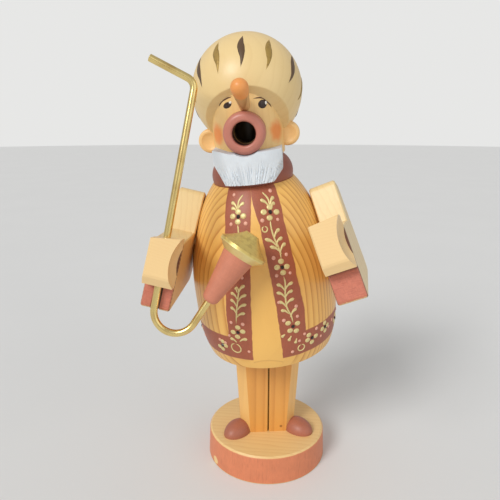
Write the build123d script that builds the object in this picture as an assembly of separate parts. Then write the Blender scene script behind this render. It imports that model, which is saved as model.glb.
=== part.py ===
from build123d import *
import math
import os

# German incense smoker: a turned and sawn wooden figure in a turban with a long brass pipe.
#
# Millimetres, +Z up, the figure faces -Y. The origin is the middle of the base's flat underside.
# The coat, head, arms and pipe are built upright in their own frame, whose origin is the middle of
# the coat's open end, and are then set on the legs by one placing, because on this figure the whole
# upper half leans to its right and forward. Left and right are the figure's own.

# Base disc and legs
BASE_RADIUS = 28.5
BASE_TOP_RADIUS = 28.0
BASE_HEIGHT = 13.3
BASE_EDGE_BEVEL = 0.9
LEG_WIDTH_TOP = 31.8
LEG_WIDTH_BOTTOM = 25.6
LEG_DEPTH = 17.0
LEG_BEVEL = 4.2
LEG_SET_BACK = 0.3
LEG_KERF_WIDTH = 0.8
LEG_KERF_DEPTH = 3.0
DOWEL_RADIUS = 3.0
DOWEL_SPACING = 13.0
DOWEL_DEPTH = 8.0
GLUE_GAP = 0.05
SHOE_HALF_WIDTH = 5.7
SHOE_TOE_LENGTH = 8.0
SHOE_HEEL_LENGTH = 7.0
SHOE_ASIDE = 14.6
SHOE_FORWARD = 6.6
SHOE_SPLAY = 42.0

# How the upper half stands on the legs
SEAT_HEIGHT = 62.0
SEAT_ASIDE = 1.1
SEAT_FORWARD = 4.0
LEAN_SIDE = 6.7
LEAN_FRONT = 5.0
UPPER_TURN = 9.0

# Seat plug and incense dish
PLUG_RADIUS = 10.8
PLUG_HEIGHT = 6.0
PLUG_LEAD_BEVEL = 0.8
SEAT_DOWEL_IN_PLUG = 3.2
SEAT_DOWEL_IN_LEGS = 12.0
SEAT_DOWEL_BACK = 4.3
DISH_RADIUS = 7.6
DISH_DEPTH = 2.6
DISH_SHEET = 0.35
DISH_LIP = 1.2
DISH_RECESS_DEPTH = 1.6
DISH_CLEARANCE = 0.3

# Coat
COAT_MOUTH_RADIUS = 28.0
COAT_HEM_RADIUS = 28.9
COAT_HEM_HEIGHT = 2.5
COAT_BELLY_RADIUS = 31.3
COAT_HEM_TO_BELLY = 22.5
COAT_CHEST_RADIUS = 30.3
COAT_BELLY_TO_CHEST = 17.0
COAT_ARM_RADIUS = 27.2
COAT_CHEST_TO_ARM = 12.0
COAT_SHOULDER_RADIUS = 23.4
COAT_ARM_TO_SHOULDER = 10.0
COAT_TOP_RADIUS = 16.9
COAT_SHOULDER_TO_TOP = 10.5
COAT_BORE_CLEARANCE = 0.35
CAVITY_ROOF_BELOW_TOP = 16.5
CAVITY_ROOF_RISE = 12.0
SMOKE_RADIUS = 5.0
SMOKE_CROWN = 1.5
COAT_BELLY_HEIGHT = COAT_HEM_HEIGHT + COAT_HEM_TO_BELLY
COAT_CHEST_HEIGHT = COAT_BELLY_HEIGHT + COAT_BELLY_TO_CHEST
COAT_ARM_HEIGHT = COAT_CHEST_HEIGHT + COAT_CHEST_TO_ARM
COAT_SHOULDER_HEIGHT = COAT_ARM_HEIGHT + COAT_ARM_TO_SHOULDER
COAT_HEIGHT = COAT_SHOULDER_HEIGHT + COAT_SHOULDER_TO_TOP
CAVITY_HEIGHT = COAT_HEIGHT - CAVITY_ROOF_BELOW_TOP
CAVITY_WALL_HEIGHT = CAVITY_HEIGHT - CAVITY_ROOF_RISE

# Collar, head and neck
COLLAR_RADIUS = 16.5
COLLAR_MIDDLE_RADIUS = 16.5
COLLAR_HEIGHT = 10.0
COLLAR_TOP_RADIUS = 12.4
NECK_RADIUS = 7.5
NECK_IN_COAT = 8.0
HEAD_RADIUS = 14.3
HEAD_HEIGHT = 27.5
HEAD_EDGE = 0.8
MOUTH_ABOVE_COLLAR = 10.6
MOUTH_RADIUS = 4.5
LIP_RADIUS = 8.1
LIP_FRONT = 18.2
LIP_SEAT = 11.6
LIP_ROUND = 2.2
LIP_INNER_ROUND = 1.0
COLLAR_TOP = COAT_HEIGHT + COLLAR_HEIGHT
HEAD_TOP = COLLAR_TOP + HEAD_HEIGHT
NECK_FOOT = COAT_HEIGHT - NECK_IN_COAT
MOUTH_HEIGHT = COLLAR_TOP + MOUTH_ABOVE_COLLAR

# Turban
TURBAN_RADIUS = 22.3
TURBAN_BELOW_HEAD_TOP = 2.5
TURBAN_BACK = 6.0
TURBAN_ASIDE = 0.8
TURBAN_TILT = 50.0
TURBAN_RIM_ANGLE = 43.2
TURBAN_UNDER_SLOPE = 3.0
TURBAN_RIM_ROUND = 0.6
TURBAN_HEIGHT = HEAD_TOP - TURBAN_BELOW_HEAD_TOP

# Ears, nose and beard
EAR_RADIUS = 4.9
EAR_THICKNESS = 3.8
EAR_ASIDE = 15.9
EAR_ABOVE_COLLAR = 7.2
EAR_BACK = 0.6
EAR_ROUND = 1.2
EAR_HOLLOW_RADIUS = 7.0
EAR_HOLLOW_DEPTH = 0.9
EAR_HEIGHT = COLLAR_TOP + EAR_ABOVE_COLLAR
NOSE_ABOVE_MOUTH = 10.2
NOSE_RISE = 33.0
NOSE_ROOT_RADIUS = 2.1
NOSE_TIP_RADIUS = 3.25
NOSE_LENGTH = 12.0
NOSE_PEG_LENGTH = 5.0
NOSE_PEG_RADIUS = 1.6
NOSE_ROOT_HEIGHT = MOUTH_HEIGHT + NOSE_ABOVE_MOUTH
FACE_ASIDE = 1.0
BEARD_ABOVE_COLLAR = 3.6
BEARD_LENGTH = 12.1
BEARD_CHEEK_LENGTH = 3.9
BEARD_HALF_WIDTH = 13.4
BEARD_CHIN_HALF_WIDTH = 9.4
BEARD_FRONT = 19.9
BEARD_BACK = 5.5
BEARD_LIP_CLEARANCE = 0.15
BEARD_TOP = COLLAR_TOP + BEARD_ABOVE_COLLAR
BEARD_BOTTOM = BEARD_TOP - BEARD_LENGTH
BEARD_CHEEK_HEIGHT = BEARD_TOP - BEARD_CHEEK_LENGTH

# Sleeves: outline from the front of the shoulder, forward and down, before it is pitched
SLEEVE_THICKNESS = 11.0
CROOK_DOWN = 18.3
CUFF_TOP_FORWARD = 26.8
CUFF_TOP_DOWN = 25.6
CUFF_BOTTOM_FORWARD = 22.3
CUFF_BOTTOM_DOWN = 51.6
ELBOW_BACK = 25.0
ELBOW_DOWN = 37.0
SHOULDER_DEPTH = 13.0
SHOULDER_ROUND = 3.0
ELBOW_ROUND = 5.0
CUFF_TIP_ROUND = 1.5
SLEEVE_EDGE = 0.5
ARM_DOWEL_RADIUS = 2.5
ARM_DOWEL_LENGTH = 12.0
ARM_DOWEL_DOWN = 20.0

# Each arm's own pose, by side: the shoulder's inner front corner, its turns and the hand on it
RIGHT = -1
LEFT = 1
RIGHT_ARM_ASIDE = 20.6
LEFT_ARM_ASIDE = 22.3
RIGHT_ARM_FORWARD = 2.1
LEFT_ARM_FORWARD = 2.6
RIGHT_ARM_ABOVE_SHOULDER = 7.3
LEFT_ARM_ABOVE_SHOULDER = 5.0
RIGHT_ARM_TOE_IN = 0.0
LEFT_ARM_TOE_IN = 3.7
RIGHT_ARM_SPLAY = 18.6
LEFT_ARM_SPLAY = 16.9
RIGHT_ARM_PITCH = 25.6
LEFT_ARM_PITCH = 28.6
RIGHT_HAND_ABOVE_CUFF = 2.0
LEFT_HAND_ABOVE_CUFF = 4.0
RIGHT_HAND_TOP_SLANT = 9.0
LEFT_HAND_TOP_SLANT = 4.0
ARM_ASIDE = {RIGHT: RIGHT_ARM_ASIDE, LEFT: LEFT_ARM_ASIDE}
ARM_FORWARD = {RIGHT: RIGHT_ARM_FORWARD, LEFT: LEFT_ARM_FORWARD}
ARM_HEIGHT = {RIGHT: COAT_SHOULDER_HEIGHT + RIGHT_ARM_ABOVE_SHOULDER,
              LEFT: COAT_SHOULDER_HEIGHT + LEFT_ARM_ABOVE_SHOULDER}
ARM_TOE_IN = {RIGHT: RIGHT_ARM_TOE_IN, LEFT: LEFT_ARM_TOE_IN}
ARM_SPLAY = {RIGHT: RIGHT_ARM_SPLAY, LEFT: LEFT_ARM_SPLAY}
ARM_PITCH = {RIGHT: RIGHT_ARM_PITCH, LEFT: LEFT_ARM_PITCH}
HAND_ABOVE_CUFF = {RIGHT: RIGHT_HAND_ABOVE_CUFF, LEFT: LEFT_HAND_ABOVE_CUFF}
HAND_TOP_SLANT = {RIGHT: RIGHT_HAND_TOP_SLANT, LEFT: LEFT_HAND_TOP_SLANT}

# Hands
HAND_THICKNESS = 7.5
HAND_LENGTH = 18.6
HAND_HEEL_BEVEL = 2.4
HAND_HEEL_BEVEL_LENGTH = 3.2
HAND_SCOOP_RADIUS = 17.0
HAND_SCOOP_DEPTH = 2.6
HAND_EDGE = 0.5

# Pipe
ROD_RADIUS = 1.35
ROD_CLEARANCE = 0.08
ROD_FORWARD = 1.7
SLOT_WIDTH = 3.4
SLOT_DEPTH = 2.2
ROD_ASIDE = 0.7
ROD_TILT = 2.0
ROD_ABOVE_CUFF = 57.0
ROD_BELOW_CUFF = 25.2
MOUTHPIECE_LENGTH = 17.9
MOUTHPIECE_ANGLE = 73.5
MOUTHPIECE_BEND_RADIUS = 4.0
PIPE_SWING = 0.8
PIPE_U_RADIUS = 7.95
PIPE_U_TURN = 157.6
PIPE_RUN_TO_BOWL = 9.8
BOWL_LENGTH = 20.0
BOWL_FOOT_RADIUS = 2.9
BOWL_TOP_RADIUS = 6.1
BOWL_FOOT_ROUND = 2.2
BOWL_SOCKET_DEPTH = 5.0
BOWL_HOLLOW_RADIUS = 4.2
BOWL_HOLLOW_DEPTH = 9.0
LID_UNDER_RADIUS = 6.3
LID_RIM_RADIUS = 9.3
LID_RIM_HEIGHT = 2.5
LID_RIM_EDGE = 1.2
LID_WAIST_RADIUS = 5.6
LID_WAIST_HEIGHT = 6.3
LID_TIP_RADIUS = 2.6
LID_HEIGHT = 9.4
LID_PLUG_CLEARANCE = 0.15
LID_PLUG_DEPTH = 2.5

# One overrun serves every cut
OVERRUN = 1.0

COAT_BORE_RADIUS = PLUG_RADIUS + COAT_BORE_CLEARANCE

# Place of the upper half: lean forward, lean to the figure's right, then turn on its own axis
UPPER = Pos(SEAT_ASIDE, -SEAT_FORWARD, SEAT_HEIGHT) * Rot(LEAN_FRONT, -LEAN_SIDE, -UPPER_TURN)


def disc(radius, height, base=0.0):
    """Upright cylinder whose underside is at the height base."""
    return Pos(0, 0, base) * Cylinder(radius, height, align=(Align.CENTER, Align.CENTER, Align.MIN))


def spun(*outline):
    """Solid of revolution about Z of an outline of (radius, height) corners."""
    face = make_face(Polyline(*[(r, 0, z) for r, z in outline], close=True))
    return revolve(face, Axis.Z)


def base_disc():
    """Round base: slightly tapered, bevelled at the top, with two blind holes for the leg dowels."""
    bevel_foot = BASE_HEIGHT - BASE_EDGE_BEVEL
    body = spun((0, 0), (BASE_RADIUS, 0), (BASE_TOP_RADIUS, bevel_foot),
                (BASE_TOP_RADIUS - BASE_EDGE_BEVEL, BASE_HEIGHT), (0, BASE_HEIGHT))
    return body - dowel_holes()


def dowel_places():
    """Middles of the two leg dowels, at the joint between base and legs."""
    return [Pos(side * DOWEL_SPACING / 2, LEG_SET_BACK, BASE_HEIGHT) for side in (RIGHT, LEFT)]


def leg_dowels():
    """The two dowels that join the legs to the base."""
    peg = Cylinder(DOWEL_RADIUS, 2 * DOWEL_DEPTH)
    return [place * peg for place in dowel_places()]


def dowel_holes():
    """Glue-fit holes for the two leg dowels, cut in the base and in the legs."""
    hole = Cylinder(DOWEL_RADIUS + GLUE_GAP, 2 * (DOWEL_DEPTH + GLUE_GAP))
    return Part() + [place * hole for place in dowel_places()]


def leg_section(width, height):
    """Bevelled rectangle across the legs at one height."""
    outline = Rectangle(width, LEG_DEPTH)
    return Pos(0, LEG_SET_BACK, height) * chamfer(outline.vertices(), LEG_BEVEL)


def legs():
    """Both legs as one tapered block, sawn apart front and back, its top cut to the lean."""
    tallest = SEAT_HEIGHT + LEG_WIDTH_TOP * math.tan(math.radians(LEAN_SIDE))
    grow = (LEG_WIDTH_TOP - LEG_WIDTH_BOTTOM) / (SEAT_HEIGHT - BASE_HEIGHT)
    width = LEG_WIDTH_BOTTOM + grow * (tallest - BASE_HEIGHT)
    block = loft([leg_section(LEG_WIDTH_BOTTOM, BASE_HEIGHT), leg_section(width, tallest)])
    for face_y in (-LEG_DEPTH / 2, LEG_DEPTH / 2):
        block -= Pos(0, LEG_SET_BACK + face_y, tallest) * Box(
            LEG_KERF_WIDTH, 2 * LEG_KERF_DEPTH, 2 * tallest)
    above = UPPER * disc(2 * BASE_RADIUS, SEAT_HEIGHT)
    return block - above - dowel_holes() - UPPER * seat_dowel(GLUE_GAP)


def shoe(side):
    """Half egg on the base, its toe turned out, cut to the leg that it is glued to."""
    toe = EllipticalCenterArc((0, 0), SHOE_TOE_LENGTH, SHOE_HALF_WIDTH, start_angle=0)
    heel = EllipticalCenterArc((0, 0), SHOE_HEEL_LENGTH, SHOE_HALF_WIDTH, start_angle=90)
    sole = Line((-SHOE_HEEL_LENGTH, 0), (SHOE_TOE_LENGTH, 0))
    egg = revolve(make_face(toe + heel + sole), Axis.X)
    egg &= disc(2 * SHOE_TOE_LENGTH, 2 * SHOE_HALF_WIDTH)
    turn = Rot(0, 0, -90 + side * SHOE_SPLAY)
    return Pos(side * SHOE_ASIDE, -SHOE_FORWARD, BASE_HEIGHT) * turn * egg - legs()


def seat_dowel(room=0.0):
    """Dowel that joins the plug to the legs, along the leaning axis, or its hole with some room."""
    length = SEAT_DOWEL_IN_LEGS + SEAT_DOWEL_IN_PLUG + 2 * room
    return Pos(0, SEAT_DOWEL_BACK, 0) * disc(DOWEL_RADIUS + room, length, -SEAT_DOWEL_IN_LEGS - room)


def seat_plug():
    """Round wooden plug on the legs that the coat drops over, recessed for the dish."""
    body = disc(PLUG_RADIUS, PLUG_HEIGHT)
    body = chamfer(body.edges().filter_by(GeomType.CIRCLE).sort_by(Axis.Z)[-1], PLUG_LEAD_BEVEL)
    recess_foot = PLUG_HEIGHT - DISH_RECESS_DEPTH
    body -= disc(DISH_RADIUS + DISH_CLEARANCE, DISH_RECESS_DEPTH + OVERRUN, recess_foot)
    return body - seat_dowel(GLUE_GAP)


def incense_dish():
    """Pressed tinplate dish that the incense cone burns in."""
    foot = PLUG_HEIGHT - DISH_RECESS_DEPTH
    top = foot + DISH_DEPTH
    inner = DISH_RADIUS - DISH_SHEET
    lip_outer = DISH_RADIUS + DISH_LIP
    return spun((0, foot), (DISH_RADIUS, foot), (DISH_RADIUS, top - DISH_SHEET),
                (lip_outer, top - DISH_SHEET), (lip_outer, top), (inner, top),
                (inner, foot + DISH_SHEET), (0, foot + DISH_SHEET))


def coat_skin():
    """Outer curve of the coat from its open end up to the collar."""
    corners = [(COAT_MOUTH_RADIUS, 0, 0), (COAT_HEM_RADIUS, 0, COAT_HEM_HEIGHT),
               (COAT_BELLY_RADIUS, 0, COAT_BELLY_HEIGHT), (COAT_CHEST_RADIUS, 0, COAT_CHEST_HEIGHT),
               (COAT_ARM_RADIUS, 0, COAT_ARM_HEIGHT),
               (COAT_SHOULDER_RADIUS, 0, COAT_SHOULDER_HEIGHT), (COAT_TOP_RADIUS, 0, COAT_HEIGHT)]
    return Spline(*corners)


def coat():
    """Turned coat, bored from below for the smoke, with a flat for each glued sleeve."""
    axis_line = Polyline((COAT_TOP_RADIUS, 0, COAT_HEIGHT), (0, 0, COAT_HEIGHT), (0, 0, 0),
                         (COAT_MOUTH_RADIUS, 0, 0))
    body = revolve(make_face(coat_skin() + axis_line), Axis.Z)
    body -= spun((0, -OVERRUN), (COAT_BORE_RADIUS, -OVERRUN), (COAT_BORE_RADIUS, CAVITY_WALL_HEIGHT),
                 (SMOKE_RADIUS, CAVITY_HEIGHT), (SMOKE_RADIUS, NECK_FOOT), (0, NECK_FOOT))
    body -= disc(NECK_RADIUS + GLUE_GAP, NECK_IN_COAT + OVERRUN, NECK_FOOT)
    for side in (RIGHT, LEFT):
        body -= sleeve_blank(side)
        body -= arm_dowel(side, GLUE_GAP)
    return body


def collar():
    """Turned neck ring that the head stands on, like a flattened dome."""
    inner = NECK_RADIUS + GLUE_GAP
    skin = ThreePointArc((COLLAR_RADIUS, 0, COAT_HEIGHT),
                         (COLLAR_MIDDLE_RADIUS, 0, COAT_HEIGHT + COLLAR_HEIGHT / 2),
                         (COLLAR_TOP_RADIUS, 0, COLLAR_TOP))
    rest = Polyline((COLLAR_TOP_RADIUS, 0, COLLAR_TOP), (inner, 0, COLLAR_TOP),
                    (inner, 0, COAT_HEIGHT), (COLLAR_RADIUS, 0, COAT_HEIGHT))
    return revolve(make_face(skin + rest), Axis.Z)


def forward_rod(radius, start, end, height, aside=0.0):
    """Cylinder that runs straight forward, from start to end in front of the axis."""
    rod = Cylinder(radius, end - start, align=(Align.CENTER, Align.CENTER, Align.MIN))
    return Pos(aside, -start, height) * Rot(90, 0, 0) * rod


def head():
    """Head cylinder with its neck, the smoke channel and the seats of lips, nose and ears."""
    block = disc(HEAD_RADIUS, HEAD_HEIGHT, COLLAR_TOP)
    rims = block.edges().filter_by(GeomType.CIRCLE).sort_by(Axis.Z)
    block = fillet(rims[0], HEAD_EDGE)
    block += disc(NECK_RADIUS, COLLAR_TOP - NECK_FOOT, NECK_FOOT)
    channel_top = MOUTH_HEIGHT + MOUTH_RADIUS + SMOKE_CROWN
    block -= disc(SMOKE_RADIUS, channel_top - NECK_FOOT + OVERRUN, NECK_FOOT - OVERRUN)
    block -= forward_rod(MOUTH_RADIUS, 0, HEAD_RADIUS + OVERRUN, MOUTH_HEIGHT)
    block -= forward_rod(LIP_RADIUS + GLUE_GAP, LIP_SEAT, HEAD_RADIUS + OVERRUN, MOUTH_HEIGHT)
    return block - nose_place() * nose_peg(GLUE_GAP)


def mouth_ring():
    """Round painted lips, a turned ring let into the face."""
    thickness = LIP_FRONT - LIP_SEAT
    ring = Cylinder(LIP_RADIUS, thickness, align=(Align.CENTER, Align.CENTER, Align.MIN))
    ring -= Cylinder(MOUTH_RADIUS, 2 * thickness + OVERRUN)
    front = ring.edges().filter_by(GeomType.CIRCLE).group_by(Axis.Z)[-1].sort_by(SortBy.RADIUS)
    ring = fillet(front[-1], LIP_ROUND)
    front = ring.edges().filter_by(GeomType.CIRCLE).group_by(Axis.Z)[-1].sort_by(SortBy.RADIUS)
    ring = fillet(front[0], LIP_INNER_ROUND)
    return Pos(0, -LIP_SEAT, MOUTH_HEIGHT) * Rot(90, 0, 0) * ring


def turban_place():
    """Frame of the turban's own axis, tipped back over the head."""
    return Pos(TURBAN_ASIDE, TURBAN_BACK, TURBAN_HEIGHT) * Rot(-TURBAN_TILT, 0, 0)


def turban():
    """Ball with a sloping underside inside its rim, tipped back and bored for the head."""
    rim = math.radians(TURBAN_RIM_ANGLE)
    rim_radius = TURBAN_RADIUS * math.cos(rim)
    rim_height = -TURBAN_RADIUS * math.sin(rim)
    foot = rim_height - rim_radius * math.tan(math.radians(TURBAN_UNDER_SLOPE))
    skin = ThreePointArc((0, 0, TURBAN_RADIUS), (TURBAN_RADIUS, 0, 0), (rim_radius, 0, rim_height))
    under = Polyline((rim_radius, 0, rim_height), (0, 0, foot), (0, 0, TURBAN_RADIUS))
    ball = revolve(make_face(skin + under), Axis.Z)
    rim_edge = ball.edges().filter_by(GeomType.CIRCLE).sort_by(SortBy.RADIUS)[0]
    ball = turban_place() * fillet(rim_edge, TURBAN_RIM_ROUND)
    return ball - disc(HEAD_RADIUS, HEAD_TOP - NECK_FOOT, NECK_FOOT)


def ear(side):
    """Round lobe glued to the side of the head, scooped in front."""
    lobe = Cylinder(EAR_RADIUS, EAR_THICKNESS)
    lobe = fillet(lobe.edges().filter_by(GeomType.CIRCLE), EAR_ROUND)
    scoop_out = EAR_THICKNESS / 2 + EAR_HOLLOW_RADIUS - EAR_HOLLOW_DEPTH
    lobe -= Pos(0, 0, scoop_out) * Sphere(EAR_HOLLOW_RADIUS)
    placed = Pos(side * EAR_ASIDE, EAR_BACK, EAR_HEIGHT) * Rot(90, 0, 0) * lobe
    return placed - disc(HEAD_RADIUS, HEAD_HEIGHT, COLLAR_TOP) - turban()


def nose_place():
    """Frame at the nose's root on the face, its Z along the nose."""
    return Pos(FACE_ASIDE, -HEAD_RADIUS, NOSE_ROOT_HEIGHT) * Rot(90 - NOSE_RISE, 0, 0)


def nose_peg(room=0.0):
    """Thin end of the nose pin, or its hole with some room, behind the face."""
    deep = NOSE_PEG_LENGTH + room
    return Pos(0, 0, -deep) * Cylinder(
        NOSE_PEG_RADIUS + room, deep + OVERRUN, align=(Align.CENTER, Align.CENTER, Align.MIN))


def nose():
    """Turned pin nose with a round tip, cut to the curve of the face."""
    shaft = Pos(0, 0, NOSE_LENGTH / 2) * Cone(NOSE_ROOT_RADIUS, NOSE_TIP_RADIUS, NOSE_LENGTH)
    shaft += Pos(0, 0, -NOSE_ROOT_RADIUS) * disc(NOSE_ROOT_RADIUS, NOSE_ROOT_RADIUS)
    tip = Pos(0, 0, NOSE_LENGTH) * Sphere(NOSE_TIP_RADIUS)
    outside = nose_place() * (shaft + tip) - disc(HEAD_RADIUS, HEAD_HEIGHT, COLLAR_TOP)
    lips = forward_rod(LIP_RADIUS + GLUE_GAP, LIP_SEAT, LIP_FRONT + OVERRUN, MOUTH_HEIGHT)
    return outside + nose_place() * nose_peg() - lips


def beard():
    """Carved beard block under the mouth, curved in front and narrowed at the chin."""
    outline = Polyline((-BEARD_HALF_WIDTH, 0, BEARD_TOP), (BEARD_HALF_WIDTH, 0, BEARD_TOP),
                       (BEARD_HALF_WIDTH, 0, BEARD_CHEEK_HEIGHT),
                       (BEARD_CHIN_HALF_WIDTH, 0, BEARD_BOTTOM),
                       (-BEARD_CHIN_HALF_WIDTH, 0, BEARD_BOTTOM),
                       (-BEARD_HALF_WIDTH, 0, BEARD_CHEEK_HEIGHT), close=True)
    block = extrude(make_face(outline), amount=BEARD_FRONT, dir=(0, -1, 0))
    block &= disc(BEARD_FRONT, COLLAR_TOP, BEARD_BOTTOM)
    block -= Pos(0, BEARD_FRONT - BEARD_BACK, BEARD_BOTTOM) * Box(
        2 * BEARD_FRONT, 2 * BEARD_FRONT, 2 * COLLAR_TOP)
    block -= disc(HEAD_RADIUS, HEAD_HEIGHT, COLLAR_TOP)
    block -= collar() + disc(COLLAR_TOP_RADIUS, COLLAR_HEIGHT, COAT_HEIGHT)
    block -= forward_rod(LIP_RADIUS + BEARD_LIP_CLEARANCE, LIP_SEAT, BEARD_FRONT, MOUTH_HEIGHT)
    return block.solids().sort_by(SortBy.VOLUME)[-1]


def arm_place(side):
    """Frame of one arm: Y forward negative, Z up, X outward from the inner face for either side."""
    turn = Rot(0, 0, -side * ARM_TOE_IN[side]) * Rot(0, -side * ARM_SPLAY[side], 0)
    spot = Pos(side * ARM_ASIDE[side], -ARM_FORWARD[side], ARM_HEIGHT[side])
    return spot * turn * Rot(-ARM_PITCH[side], 0, 0)


def board(side):
    """Sleeve board, outward from its inner face, in its arm's own frame."""
    return extrude(sleeve_outline(), amount=SLEEVE_THICKNESS, dir=(side, 0, 0))


def side_face(*corners):
    """Face in an arm's own plane from (forward, down) corners."""
    return make_face(Polyline(*[(0, -forward, -down) for forward, down in corners], close=True))


def sleeve_outline():
    """Outline of a sleeve with its shoulder, elbow and cuff tip rounded."""
    face = side_face((0, 0), (0, CROOK_DOWN), (CUFF_TOP_FORWARD, CUFF_TOP_DOWN),
                     (CUFF_BOTTOM_FORWARD, CUFF_BOTTOM_DOWN), (-ELBOW_BACK, ELBOW_DOWN),
                     (-SHOULDER_DEPTH, 0))
    corners = {SHOULDER_ROUND: [(0, 0), (-SHOULDER_DEPTH, 0)],
               ELBOW_ROUND: [(-ELBOW_BACK, ELBOW_DOWN)],
               CUFF_TIP_ROUND: [(CUFF_BOTTOM_FORWARD, CUFF_BOTTOM_DOWN)]}
    for radius, spots in corners.items():
        for forward, down in spots:
            corner = face.vertices().sort_by_distance((0, -forward, -down))[0]
            face = fillet(corner, radius)
    return face


def sleeve_blank(side):
    """Sleeve board in its place, before its edges are eased or its groove is cut."""
    return arm_place(side) * board(side)


def cuff_frame(side):
    """Frame on a cuff: Z up along the cuff, -Y out of it, X across; origin at the cuff's top."""
    run = math.hypot(CUFF_TOP_FORWARD - CUFF_BOTTOM_FORWARD, CUFF_BOTTOM_DOWN - CUFF_TOP_DOWN)
    tip = math.degrees(math.asin((CUFF_TOP_FORWARD - CUFF_BOTTOM_FORWARD) / run))
    middle = side * SLEEVE_THICKNESS / 2
    return arm_place(side) * Pos(middle, -CUFF_TOP_FORWARD, -CUFF_TOP_DOWN) * Rot(tip, 0, 0)


def sleeve(side):
    """Sawn sleeve block; the figure's right one has a slot down its cuff behind the pipe."""
    blank = board(side)
    blank = chamfer(blank.faces().filter_by(Axis.X).edges(), SLEEVE_EDGE)
    block = arm_place(side) * blank - arm_dowel(side, GLUE_GAP)
    if side == RIGHT:
        block -= cuff_frame(side) * pipe_slot()
    return block


def pipe_slot():
    """Slot sawn down the whole cuff behind the pipe's rod."""
    length = 2 * (CUFF_BOTTOM_DOWN + OVERRUN)
    return Pos(0, (SLOT_DEPTH - OVERRUN) / 2, 0) * Box(SLOT_WIDTH, SLOT_DEPTH + OVERRUN, length)


def arm_dowel(side, room=0.0):
    """Dowel between coat and sleeve, across the glued flat, or its hole with some room."""
    spot = arm_place(side) * Pos(0, SHOULDER_DEPTH / 2, -ARM_DOWEL_DOWN)
    peg = Cylinder(ARM_DOWEL_RADIUS + room, ARM_DOWEL_LENGTH + 2 * room)
    return spot * Rot(0, 90, 0) * peg


def rod_place():
    """Axis of the pipe's straight rod: Z up through the hand, just in front of the cuff."""
    return cuff_frame(RIGHT) * Pos(-ROD_ASIDE, -ROD_FORWARD, 0) * Rot(0, -ROD_TILT, 0)


def hand(side):
    """Hand block glued to the cuff, bevelled at its heel and scooped on its left side."""
    top = HAND_ABOVE_CUFF[side]
    foot = top - HAND_LENGTH
    profile = make_face(Polyline(
        (0, 0, top), (0, -HAND_THICKNESS, top), (0, -HAND_THICKNESS, foot + HAND_HEEL_BEVEL_LENGTH),
        (0, HAND_HEEL_BEVEL - HAND_THICKNESS, foot), (0, 0, foot), close=True))
    block = extrude(profile, amount=SLEEVE_THICKNESS / 2, both=True, dir=(1, 0, 0))
    block = chamfer(block.edges().group_by(Axis.Y)[0], HAND_EDGE)
    out = SLEEVE_THICKNESS / 2 + HAND_SCOOP_RADIUS - HAND_SCOOP_DEPTH
    block -= Pos(out, -HAND_THICKNESS, top - HAND_LENGTH / 2) * Sphere(HAND_SCOOP_RADIUS)
    above = Pos(SLEEVE_THICKNESS / 2, 0, top) * Rot(0, -HAND_TOP_SLANT[side], 0) * Box(
        2 * HAND_LENGTH, 2 * HAND_LENGTH, HAND_LENGTH, align=(Align.CENTER, Align.CENTER, Align.MIN))
    block -= above
    placed = cuff_frame(side) * block
    if side == RIGHT:
        placed -= rod_place() * Cylinder(ROD_RADIUS + ROD_CLEARANCE, 2 * (HAND_LENGTH + OVERRUN))
    return placed


def pipe_place():
    """Frame of the pipe: Z up its straight rod, +X towards the bowl, level with the cuff's top."""
    return rod_place() * Rot(0, 0, PIPE_SWING)


def pipe_line():
    """Middle line of the brass rod from the mouthpiece, down the hand and round to the bowl."""
    low = -ROD_BELOW_CUFF
    bend = math.radians(MOUTHPIECE_ANGLE)
    tip = (-MOUTHPIECE_LENGTH * math.sin(bend), 0, ROD_ABOVE_CUFF + MOUTHPIECE_LENGTH * math.cos(bend))
    upper = FilletPolyline(tip, (0, 0, ROD_ABOVE_CUFF), (0, 0, low), radius=MOUTHPIECE_BEND_RADIUS)
    turn = math.radians(PIPE_U_TURN)
    middle = (PIPE_U_RADIUS, 0, low)
    halfway = (middle[0] - PIPE_U_RADIUS * math.cos(turn / 2), 0,
               low - PIPE_U_RADIUS * math.sin(turn / 2))
    end = (middle[0] - PIPE_U_RADIUS * math.cos(turn), 0, low - PIPE_U_RADIUS * math.sin(turn))
    bow = ThreePointArc((0, 0, low), halfway, end)
    run_x = math.sin(turn)
    run_z = -math.cos(turn)
    reach = PIPE_RUN_TO_BOWL + BOWL_SOCKET_DEPTH
    foot = (end[0] + reach * run_x, 0, end[2] + reach * run_z)
    return upper + bow + Line(end, foot), foot


def pipe_stem():
    """Bent brass rod: mouthpiece, straight run through the hand, and the bow to the bowl."""
    line, _ = pipe_line()
    start = line @ 0
    section = Plane(start, z_dir=line % 0) * Circle(ROD_RADIUS)
    return pipe_place() * sweep(section, path=line)


def bowl_frame():
    """Frame of the bowl: Z up its own axis, origin at the rod's end in its socket."""
    _, foot = pipe_line()
    return pipe_place() * Pos(*foot) * Rot(0, 180 - PIPE_U_TURN, 0) * Pos(0, 0, -BOWL_SOCKET_DEPTH)


def pipe_bowl():
    """Tapered wooden bowl with a round foot, drilled for the rod below and hollow above."""
    blank = Cone(BOWL_FOOT_RADIUS, BOWL_TOP_RADIUS, BOWL_LENGTH,
                 align=(Align.CENTER, Align.CENTER, Align.MIN))
    foot_edge = blank.edges().filter_by(GeomType.CIRCLE).sort_by(Axis.Z)[0]
    blank = fillet(foot_edge, BOWL_FOOT_ROUND)
    blank -= disc(ROD_RADIUS + GLUE_GAP, BOWL_SOCKET_DEPTH + GLUE_GAP + OVERRUN, -OVERRUN)
    blank -= disc(BOWL_HOLLOW_RADIUS, BOWL_HOLLOW_DEPTH + OVERRUN, BOWL_LENGTH - BOWL_HOLLOW_DEPTH)
    return bowl_frame() * blank


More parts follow.
